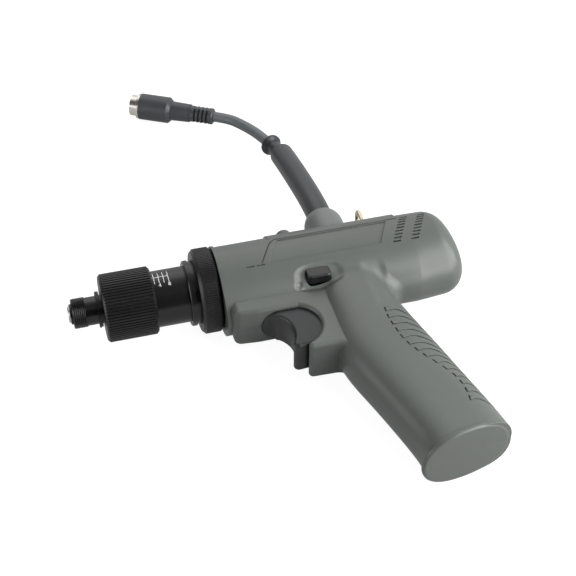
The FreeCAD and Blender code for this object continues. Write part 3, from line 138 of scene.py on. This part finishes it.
class ToolColours(bpy.types.PropertyGroup):
    housing: bpy.props.FloatVectorProperty(
        name="Housing", description="Moulded grey of the housing", subtype="COLOR",
        size=3, min=0.0, max=1.0, default=(0.088, 0.098, 0.090))
    gland: bpy.props.FloatVectorProperty(
        name="Gland", description="Moulded grey of the cable gland", subtype="COLOR",
        size=3, min=0.0, max=1.0, default=(0.140, 0.152, 0.146))
    black: bpy.props.FloatVectorProperty(
        name="Anodised black", description="Black of the nose and clutch", subtype="COLOR",
        size=3, min=0.0, max=1.0, default=(0.002, 0.002, 0.002))
    trigger: bpy.props.FloatVectorProperty(
        name="Trigger", description="Charcoal of the trigger", subtype="COLOR",
        size=3, min=0.0, max=1.0, default=(0.014, 0.015, 0.016))
    button: bpy.props.FloatVectorProperty(
        name="Button", description="Gloss black of the reversing button", subtype="COLOR",
        size=3, min=0.0, max=1.0, default=(0.008, 0.008, 0.009))
    rubber: bpy.props.FloatVectorProperty(
        name="Boot rubber", description="Charcoal of the cable boot", subtype="COLOR",
        size=3, min=0.0, max=1.0, default=(0.026, 0.028, 0.031))
    cable: bpy.props.FloatVectorProperty(
        name="Cable", description="Grey jacket of the cable", subtype="COLOR",
        size=3, min=0.0, max=1.0, default=(0.115, 0.125, 0.130))
    plug: bpy.props.FloatVectorProperty(
        name="Plug", description="Charcoal of the plug's overmould", subtype="COLOR",
        size=3, min=0.0, max=1.0, default=(0.042, 0.045, 0.050))
    bail: bpy.props.FloatVectorProperty(
        name="Bail", description="Passivated wire of the suspension bail", subtype="COLOR",
        size=3, min=0.0, max=1.0, default=(0.74, 0.66, 0.46))
    marking: bpy.props.FloatVectorProperty(
        name="Markings", description="Paint of the setting scale", subtype="COLOR",
        size=3, min=0.0, max=1.0, default=(0.80, 0.80, 0.78))


# Shader maths
class Wire:
    """A shader value that adds its own Math nodes when it is used in an expression."""

    def __init__(self, finish, socket):
        self.finish = finish
        self.socket = socket

    def maths(self, operation, *values):
        node = self.finish.node("ShaderNodeMath", {"operation": operation},
                                dict(enumerate(values)))
        return Wire(self.finish, node.outputs[0])

    def __add__(self, other):
        return self.maths("ADD", self, other)

    def __sub__(self, other):
        return self.maths("SUBTRACT", self, other)

    def __mul__(self, other):
        return self.maths("MULTIPLY", self, other)

    def __truediv__(self, other):
        return self.maths("DIVIDE", self, other)

    def __lt__(self, other):
        return self.maths("LESS_THAN", self, other)

    def __gt__(self, other):
        return self.maths("GREATER_THAN", self, other)

    def __pow__(self, other):
        return self.maths("POWER", self, other)

    def __abs__(self):
        return self.maths("ABSOLUTE", self)


class Finish:
    """A material built from nodes, with its own Principled shader."""

    def __init__(self, name, colour, roughness, metallic=0.0):
        self.material = bpy.data.materials.new(name)
        self.material.use_nodes = True
        self.material.diffuse_color = (*colour, 1.0)
        self.nodes = self.material.node_tree.nodes
        self.links = self.material.node_tree.links
        self.shader = self.nodes["Principled BSDF"]
        self.surface(**{"Base Color": (*colour, 1.0), "Roughness": roughness,
                        "Metallic": metallic})

    def node(self, kind, settings=None, values=None):
        """Adds any node: its settings first, then the values or links of its sockets."""
        made = self.nodes.new(kind)
        for key, value in (settings or {}).items():
            setattr(made, key, value)
        for key, value in (values or {}).items():
            self.feed(made.inputs[key], value)
        return made

    def feed(self, socket, value):
        if isinstance(value, Wire):
            self.links.new(value.socket, socket)
        elif isinstance(value, bpy.types.Node):
            self.links.new(value.outputs[0], socket)
        else:
            socket.default_value = value

    def surface(self, **sockets):
        for key, value in sockets.items():
            self.feed(self.shader.inputs[key], value)

    def place(self, centre=(0.0, 0.0, 0.0), turn=(0.0, 0.0, 0.0), scale=(1.0, 1.0, 1.0)):
        """Object coordinates, moved so that a point and a direction are the pattern's own."""
        where = self.node("ShaderNodeTexCoord")
        mapping = self.node("ShaderNodeMapping", {"vector_type": "TEXTURE"}, {
            "Vector": Wire(self, where.outputs["Object"]), "Location": centre,
            "Rotation": turn, "Scale": scale})
        return Wire(self, mapping.outputs[0])

    def split(self, vector):
        parts = self.node("ShaderNodeSeparateXYZ", None, {"Vector": vector})
        return [Wire(self, socket) for socket in parts.outputs]

    def noise(self, vector, feature, detail=2.0, rough=0.5):
        """Noise whose lumps are about as large as feature, in metres."""
        made = self.node("ShaderNodeTexNoise", None, {
            "Vector": vector, "Scale": 1.0 / feature, "Detail": detail, "Roughness": rough})
        return Wire(self, made.outputs["Fac"])

    def between(self, value, low, high):
        """Brings a 0 to 1 value into the range from low to high."""
        made = self.node("ShaderNodeMapRange", None, {
            "Value": value, "To Min": low, "To Max": high})
        return Wire(self, made.outputs[0])

    def blend(self, share, colour, other):
        made = self.node("ShaderNodeMix", {"data_type": "RGBA"}, {
            "Factor": share, 6: colour, 7: other})
        return Wire(self, made.outputs[2])

    def soft_edges(self, radius):
        """Normals that round the moulded edges and inner corners by a radius in metres."""
        made = self.node("ShaderNodeBevel", {"samples": 6}, {"Radius": radius})
        return Wire(self, made.outputs[0])

    def bump(self, height, depth, strength=1.0, under=None):
        """Relief of a depth in metres, over another relief where one is given."""
        values = {"Height": height, "Distance": depth, "Strength": strength}
        if under is not None:
            values["Normal"] = under
        made = self.node("ShaderNodeBump", None, values)
        return Wire(self, made.outputs["Normal"])


def rgba(colour, share=1.0):
    return tuple(min(1.0, c * share) for c in colour) + (1.0,)


# Finishes
def moulded_grey(name, colour, grain, roughness=0.34, edge=0.0008):
    """Satin moulded plastic with a fine spark-eroded grain, faint marks and rounded edges."""
    finish = Finish(name, colour, roughness)
    where = finish.place()
    cloud = finish.noise(where, 0.035, 3.0)
    speck = finish.noise(where, grain, 2.0)
    finish.surface(**{
        "Base Color": finish.blend(cloud, rgba(colour, 0.93), rgba(colour, 1.07)),
        "Roughness": finish.between(cloud * 0.6 + speck * 0.4, roughness - 0.05, roughness + 0.07),
        "Normal": finish.bump(speck, grain * 0.10, 0.5, finish.soft_edges(edge))})
    return finish


def inside_oval(finish, x, y, centre, reach, edge, power=2):
    """1 well inside an oval, 0 outside, with a soft edge that is a share of its reach."""
    radius = (abs((x - centre[0]) / reach[0]) ** power
              + abs((y - centre[1]) / reach[1]) ** power) ** (1 / power)
    made = finish.node("ShaderNodeMapRange", {"interpolation_type": "SMOOTHSTEP"}, {
        "Value": radius, "From Min": 1.0, "From Max": 1.0 - edge})
    return Wire(finish, made.outputs[0])


def housing_grey(name, colour, grain):
    """The moulded grey with the shallow relief of the housing's sides."""
    finish = moulded_grey(name, colour, grain, edge=0.0005)
    x, y, z = finish.split(finish.place(turn=(TOOL_TURN, 0.0, 0.0)))
    flank_level = 0.011
    dish_depth, dimple_depth, valley_depth, pad_height = 0.0008, 0.0007, 0.0012, 0.0006
    on_side = abs(z) > flank_level
    # Round the reversing button, and a small one before it
    dish = inside_oval(finish, x, y, centre=(0.1334, -0.0208), reach=(0.0142, 0.0072),
                       edge=0.30, power=3)
    dimple = inside_oval(finish, x, y, centre=(0.1214, -0.0230), reach=(0.0028, 0.0022),
                         edge=0.9)
    # Between the grip and the barrel, and the swelling behind it under the tail
    valley = inside_oval(finish, x, y, centre=(0.1630, -0.0370), reach=(0.0080, 0.0230),
                         edge=0.75, power=4)
    pad = inside_oval(finish, x, y, centre=(0.1800, -0.0400), reach=(0.0170, 0.0230),
                      edge=0.90, power=3)
    height = ((dish * -dish_depth - dimple * dimple_depth) * on_side
              - valley * valley_depth + pad * pad_height)
    relief = finish.shader.inputs["Normal"].links[0].from_socket
    finish.surface(Normal=finish.bump(height, 1.0, 1.0, Wire(finish, relief)))
    return finish


def anodised_black(name, colour, roughness):
    """Black anodised aluminium, turned, with a faint drawn texture."""
    finish = Finish(name, colour, roughness)
    along, across, up = finish.split(finish.place())
    around = finish.node("ShaderNodeCombineXYZ", None, {"X": along * 40.0, "Y": across, "Z": up})
    lines = finish.noise(around, 0.012, 4.0, 0.6)
    dust = finish.noise(finish.place(), 0.0016, 3.0)
    finish.surface(**{
        "Base Color": finish.blend(dust, rgba(colour, 0.8), rgba(colour, 1.5)),
        "Roughness": finish.between(lines, roughness - 0.04, roughness + 0.06),
        "Normal": finish.bump(lines, 0.000004, 0.4)})
    return finish


def barrel_black(name, colour, sizes, marking):
    """Anodised clutch barrel with a threaded nose collar and a painted setting scale."""
    finish = anodised_black(name, colour, 0.24)
    along, across, up = finish.split(finish.place())
    angle = along.maths("ARCTAN2", up, across)
    turn = angle / (2 * math.pi)
    phase = (along / sizes.thread_pitch + turn) * (2 * math.pi)
    wave = phase.maths("SINE", phase)
    collar_low, collar_high, thread_depth = 0.0028, 0.0092, 0.00035
    collar = (along > collar_low) * (along < collar_high)
    last = sizes.scale_start + (sizes.scale_marks - 1) * sizes.scale_pitch
    steps = (along - sizes.scale_start) / sizes.scale_pitch
    off = abs(steps - steps.maths("ROUND", steps)) * sizes.scale_pitch
    half_line, reach, rule_start, skin = 0.00015, 0.0005, 0.040, 0.0002
    first_angle, last_angle, line_angle = (math.radians(v) for v in (74.0, 105.5, 89.2))
    ticks = ((off < half_line) * (angle > first_angle) * (angle < last_angle)
             * (along > sizes.scale_start - reach) * (along < last + reach))
    rule = ((abs(angle - line_angle) < half_line / BARREL_RADIUS)
            * (along > rule_start) * (along < last))
    barrel_only = (across * across + up * up) > (BARREL_RADIUS - skin) ** 2
    paint = ticks.maths("MAXIMUM", ticks, rule) * barrel_only
    base = finish.shader.inputs["Base Color"].links[0].from_socket
    relief = finish.shader.inputs["Normal"].links[0].from_socket
    finish.surface(**{
        "Base Color": finish.blend(paint, Wire(finish, base), rgba(marking)),
        "Normal": finish.bump(wave * collar, thread_depth, 1.0, Wire(finish, relief))})
    return finish


def ground_steel(name, colour, roughness=0.28, across=False):
    """Ground or turned steel with fine tool marks round the output axis."""
    finish = Finish(name, colour, roughness, metallic=1.0)
    along, side, up = finish.split(finish.place())
    stretch = (1.0, 30.0) if across else (60.0, 1.0)
    marks = finish.noise(finish.node("ShaderNodeCombineXYZ", None, {
        "X": along * stretch[0], "Y": side * stretch[1], "Z": up * stretch[1]}), 0.01, 5.0, 0.65)
    stain = finish.noise(finish.place(), 0.004, 3.0)
    finish.surface(**{
        "Base Color": finish.blend(stain, rgba(colour, 0.86), rgba(colour, 1.08)),
        "Roughness": finish.between(marks, roughness - 0.08, roughness + 0.12),
        "Normal": finish.bump(marks, 0.00001, 0.5)})
    return finish


def soft_rubber(name, colour, roughness, grain=0.0006):
    """Satin moulded rubber with a powdery bloom."""
    finish = Finish(name, colour, roughness)
    where = finish.place()
    bloom = finish.noise(where, 0.012, 4.0, 0.6)
    speck = finish.noise(where, grain, 2.0)
    finish.surface(**{
        "Base Color": finish.blend(bloom, rgba(colour, 0.85), rgba(colour, 1.25)),
        "Roughness": finish.between(bloom, roughness - 0.08, roughness + 0.08),
        "Normal": finish.bump(speck, grain * 0.08, 0.5)})
    return finish


def mottled(name, colour, roughness, metallic=0.0, feature=0.003):
    """Plain finish for the inner parts: slight mottling in colour and gloss."""
    finish = Finish(name, colour, roughness, metallic)
    speck = finish.noise(finish.place(), feature, 3.0)
    finish.surface(**{
        "Base Color": finish.blend(speck, rgba(colour, 0.85), rgba(colour, 1.15)),
        "Roughness": finish.between(speck, roughness - 0.06, roughness + 0.06),
        "Normal": finish.bump(speck, 0.00002, 0.4)})
    return finish


def smoked_lens(name):
    """Dull dark lens of the indicator lamp, with a painted sheen: its colour grows paler where the
    lens is seen edge-on, towards its outline.
    """
    colour = (0.012, 0.013, 0.012)
    finish = Finish(name, colour, 0.30)
    edge = finish.node("ShaderNodeLayerWeight", None, {"Blend": 0.35})
    haze = finish.noise(finish.place(), 0.0025, 2.0)
    # Painted sheen: the facing weight lightens the lens colour where it is seen at a grazing angle
    painted_sheen = Wire(finish, edge.outputs["Facing"])
    finish.surface(**{
        "Base Color": finish.blend(painted_sheen, rgba(colour), rgba(colour, 1.6)),
        "Roughness": finish.between(haze, 0.26, 0.40)})
    return finish


def dress(finish, *nodes):
    """Gives CAD nodes a finish."""
    for node in nodes:
        slots = NODES[node].data.materials
        slots.clear()
        slots.append(finish.material)


def tool_settings(context):
    return context.scene.tool_sizes, context.scene.tool_colours


# Operators
class SCREWDRIVER_OT_finish_housing(bpy.types.Operator):
    """Gives the moulded housing, trigger and buttons their finishes"""
    bl_idname = "screwdriver.finish_housing"
    bl_label = "Finish housing"

    def execute(self, context):
        sizes, colours = tool_settings(context)
        dress(housing_grey("housing_grey", colours.housing, sizes.grain), "housing_left",
              "housing_right")
        dress(moulded_grey("gland_grey", colours.gland, sizes.grain), "cable_gland")
        dress(moulded_grey("trigger_charcoal", colours.trigger, sizes.grain, 0.36), "trigger")
        dress(moulded_grey("button_black", colours.button, sizes.grain, 0.22), "reversing_button")
        dress(smoked_lens("indicator_smoke"), "indicator_lens")
        return {"FINISHED"}


class SCREWDRIVER_OT_finish_nose(bpy.types.Operator):
    """Gives the clutch barrel, its sleeve and rings and the spindle their finishes"""
    bl_idname = "screwdriver.finish_nose"
    bl_label = "Finish nose"

    def execute(self, context):
        sizes, colours = tool_settings(context)
        dress(barrel_black("barrel_black", colours.black, sizes, colours.marking), "clutch_housing")
        dress(anodised_black("sleeve_black", colours.black, 0.36), "adjusting_sleeve",
              "coupling_ring", "bit_sleeve")
        dress(ground_steel("spindle_steel", (0.52, 0.51, 0.49)), "output_spindle")
        dress(ground_steel("clip_steel", (0.05, 0.05, 0.05), 0.36), "nose_washer", "nose_circlip")
        return {"FINISHED"}


class SCREWDRIVER_OT_finish_inside(bpy.types.Operator):
    """Gives the clutch, the gear train, the motor and the board their finishes"""
    bl_idname = "screwdriver.finish_inside"
    bl_label = "Finish inside"

    def execute(self, context):
        dress(ground_steel("ground_steel", (0.50, 0.50, 0.51)), "bit_sleeve_spring",
              "thrust_seat", "clutch_spring", "pressure_plate", "output_carrier", "first_carrier",
              "planet_two_1", "planet_two_2", "planet_two_3", "trigger_pin")
        dress(ground_steel("bearing_chrome", (0.62, 0.62, 0.63), 0.14), "clutch_balls",
              "output_bearing", "front_motor_bearing", "rear_motor_bearing", "motor_can")
        dress(mottled("turned_brass", (0.62, 0.44, 0.20), 0.30, 1.0), "motor_pinion",
              "spindle_bushing")
        dress(mottled("black_oxide", (0.06, 0.06, 0.065), 0.42, 1.0), "gear_case", "housing_screws")
        dress(mottled("natural_nylon", (0.62, 0.60, 0.54), 0.50), "planet_one_1", "planet_one_2",
              "planet_one_3", "motor_end_cap", "gland_nut", "switch_plunger")
        dress(mottled("core_steel", (0.22, 0.21, 0.20), 0.45, 0.8), "armature")
        dress(mottled("sintered_grey", (0.08, 0.08, 0.085), 0.60), "motor_magnets", "motor_brushes")
        dress(mottled("board_green", (0.02, 0.12, 0.05), 0.35, feature=0.006), "control_board")
        dress(mottled("component_black", (0.03, 0.03, 0.035), 0.38), "board_components",
              "trigger_switch", "reversing_switch")
        return {"FINISHED"}


class SCREWDRIVER_OT_finish_bail(bpy.types.Operator):
    """Gives the suspension bail its passivated wire finish"""
    bl_idname = "screwdriver.finish_bail"
    bl_label = "Finish bail"

    def execute(self, context):
        _, colours = tool_settings(context)
        dress(ground_steel("bail_wire", colours.bail, 0.30, across=True), "suspension_bail")
        return {"FINISHED"}


class SCREWDRIVER_OT_lay_cable(bpy.types.Operator):
    """Lays the cable between its boot and the plug, and finishes what is on it"""
    bl_idname = "screwdriver.lay_cable"
    bl_label = "Lay cable"

    def execute(self, context):
        sizes, colours = tool_settings(context)
        curve = bpy.data.curves.new("cable_line", "CURVE")
        curve.dimensions = "3D"
        curve.bevel_depth = sizes.cable_diameter / 2
        curve.bevel_resolution = 6
        curve.resolution_u = 16
        curve.use_fill_caps = True
        line = curve.splines.new("NURBS")
        line.points.add(len(CABLE_ROUTE) - 1)
        for point, place in zip(line.points, CABLE_ROUTE):
            point.co = (*place, 1.0)
        line.order_u = 3
        line.use_endpoint_u = True
        cable = bpy.data.objects.new("lead", curve)
        context.scene.collection.objects.link(cable)
        jacket = soft_rubber("cable_grey", colours.cable, 0.40)
        curve.materials.append(jacket.material)
        dress(soft_rubber("boot_charcoal", colours.rubber, 0.32), "cable_boot")
        dress(soft_rubber("plug_charcoal", colours.plug, 0.40), "plug_overmould")
        dress(ground_steel("nickel_shell", (0.66, 0.64, 0.60), 0.22), "plug_shell")
        dress(mottled("insert_black", (0.02, 0.02, 0.02), 0.35), "plug_insert")
        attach(cable, "tool")
        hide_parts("cable")
        return {"FINISHED"}


class SCREWDRIVER_OT_number_scale(bpy.types.Operator):
    """Prints the two numerals beside the marks of the setting scale"""
    bl_idname = "screwdriver.number_scale"
    bl_label = "Number scale"

    def execute(self, context):
        sizes, colours = tool_settings(context)
        numeral_angle, font_share, ink = math.radians(110.5), 1.4, 0.00003
        paint = mottled("scale_paint", colours.marking, 0.55, feature=0.001)
        for text, mark in (("4", 1), ("8", 3)):
            bpy.ops.object.select_all(action="DESELECT")
            bpy.ops.object.text_add()
            numeral = context.object
            numeral.name = "scale_numeral_%s" % text
            numeral.data.body = text
            numeral.data.size = sizes.numeral_height * font_share
            numeral.data.align_x = "CENTER"
            numeral.data.align_y = "CENTER"
            numeral.data.extrude = ink
            numeral.data.resolution_u = 4
            bpy.ops.object.convert(target="MESH")
            outward = Vector((0.0, math.cos(numeral_angle), math.sin(numeral_angle)))
            across = Vector((1.0, 0.0, 0.0))
            upward = outward.cross(across)
            place = outward * BARREL_RADIUS
            place.x = sizes.scale_start + mark * sizes.scale_pitch
            seat = Matrix((across, upward, outward)).transposed().to_4x4()
            seat.translation = place
            numeral.data.transform(seat)
            numeral.data.materials.clear()
            numeral.data.materials.append(paint.material)
            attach(numeral, "tool")
        return {"FINISHED"}


def soft_box(name, place, size, watts):
    """A square studio light that faces the middle of the tool."""
    data = bpy.data.lights.new(name, "AREA")
    data.shape = "SQUARE"
    data.size = size
    data.energy = watts
    lamp = bpy.data.objects.new(name, data)
    lamp.location = place
    lamp.rotation_mode = "QUATERNION"
    lamp.rotation_quaternion = (Vector(LIGHT_AIM) - Vector(place)).to_track_quat("-Z", "Y")
    bpy.context.scene.collection.objects.link(lamp)


def bright_to_camera(finish):
    """1 for what the camera sees itself, less for what it sees in a polished face, else 0."""
    path = finish.node("ShaderNodeLightPath")
    seen = Wire(finish, path.outputs["Is Camera Ray"])
    mirrored = Wire(finish, path.outputs["Is Glossy Ray"])
    return seen.maths("MAXIMUM", seen, mirrored * MIRRORED_SHARE)


def light_surround(world):
    """A surround that is bright behind the tool, dim before it and white to the camera."""
    world.use_nodes = True
    nodes, links = world.node_tree.nodes, world.node_tree.links
    where = nodes.new("ShaderNodeTexCoord")
    facing = nodes.new("ShaderNodeVectorMath")
    facing.operation = "DOT_PRODUCT"
    facing.inputs[1].default_value = BRIGHT_SIDE
    dim = nodes.new("ShaderNodeMapRange")
    dim.interpolation_type = "SMOOTHSTEP"
    for name, value in SURROUND_RAMP.items():
        dim.inputs[name].default_value = value
    path = nodes.new("ShaderNodeLightPath")
    level = nodes.new("ShaderNodeMapRange")
    level.inputs["To Max"].default_value = 1.0
    links.new(where.outputs["Generated"], facing.inputs[0])
    links.new(facing.outputs["Value"], dim.inputs["Value"])
    links.new(dim.outputs[0], level.inputs["To Min"])
    links.new(path.outputs["Is Camera Ray"], level.inputs["Value"])
    links.new(level.outputs[0], nodes["Background"].inputs["Strength"])
    nodes["Background"].inputs["Color"].default_value = (1.0, 1.0, 1.0, 1.0)


class SCREWDRIVER_OT_set_stage(bpy.types.Operator):
    """Makes the pale floor, the studio lights, the surround and the camera"""
    bl_idname = "screwdriver.set_stage"
    bl_label = "Set stage"

    def execute(self, context):
        scene = context.scene
        scene.view_settings.view_transform = "Standard"
        bpy.ops.object.select_all(action="DESELECT")
        bpy.ops.mesh.primitive_plane_add(
            size=FLOOR_SIZE, location=(0.1, 0.0, TABLE_HEIGHT - FLOOR_DROP))
        floor = context.object
        floor.name = "floor"
        pale = Finish("floor_pale", FLOOR_GREY, 0.8)
        glow = pale.node("ShaderNodeEmission", None, {
            "Color": (1.0, 1.0, 1.0, 1.0), "Strength": bright_to_camera(pale) * FLOOR_GLOW})
        both = pale.node("ShaderNodeAddShader", None, {
            0: Wire(pale, pale.shader.outputs[0]), 1: glow})
        pale.links.new(both.outputs[0], pale.nodes["Material Output"].inputs["Surface"])
        floor.data.materials.append(pale.material)

        scene.world = bpy.data.worlds.new("surround")
        light_surround(scene.world)

        for light in LIGHTS:
            soft_box(*light)

        data = bpy.data.cameras.new("photo_camera")
        data.lens = CAMERA_LENS
        data.sensor_width = CAMERA_SENSOR
        data.clip_start, data.clip_end = 0.01, 20.0
        camera = bpy.data.objects.new("photo_camera", data)
        back = Vector((math.sin(CAMERA_AZIMUTH) * math.cos(CAMERA_ELEVATION),
                       -math.cos(CAMERA_AZIMUTH) * math.cos(CAMERA_ELEVATION),
                       math.sin(CAMERA_ELEVATION)))
        camera.location = CAMERA_AIM + back * CAMERA_DISTANCE
        camera.rotation_mode = "QUATERNION"
        level_turn = (-back).to_track_quat("-Z", "Y")
        roll = Matrix.Rotation(CAMERA_ROLL, 3, back).to_quaternion()
        camera.rotation_quaternion = roll @ level_turn
        scene.collection.objects.link(camera)
        scene.camera = camera
        return {"FINISHED"}


class SCREWDRIVER_PT_looks(bpy.types.Panel):
    """Lists the steps that dress the tool"""
    bl_label = "Screwdriver"
    bl_idname = "SCREWDRIVER_PT_looks"
    bl_space_type = "VIEW_3D"
    bl_region_type = "UI"
    bl_category = "Screwdriver"

    def draw(self, context):
        sizes, colours = tool_settings(context)
        for group in (sizes, colours):
            box = self.layout.box()
            for name in group.bl_rna.properties.keys():
                if name not in ("rna_type", "name"):
                    box.prop(group, name)
        for step in STEPS:
            self.layout.operator(step.bl_idname)


STEPS = [
    SCREWDRIVER_OT_set_stage,
    SCREWDRIVER_OT_lay_cable,
    SCREWDRIVER_OT_finish_housing,
    SCREWDRIVER_OT_finish_nose,
    SCREWDRIVER_OT_finish_inside,
    SCREWDRIVER_OT_finish_bail,
    SCREWDRIVER_OT_number_scale,
]
CLASSES = [ToolSizes, ToolColours, *STEPS, SCREWDRIVER_PT_looks]


def register():
    for item in CLASSES:
        bpy.utils.register_class(item)
    bpy.types.Scene.tool_sizes = bpy.props.PointerProperty(type=ToolSizes)
    bpy.types.Scene.tool_colours = bpy.props.PointerProperty(type=ToolColours)


def unregister():
    del bpy.types.Scene.tool_colours
    del bpy.types.Scene.tool_sizes
    for item in reversed(CLASSES):
        bpy.utils.unregister_class(item)


def main():
    register()
    for step in STEPS:
        group, action = step.bl_idname.split(".")
        getattr(getattr(bpy.ops, group), action)()


if __name__ == "__main__":
    main()
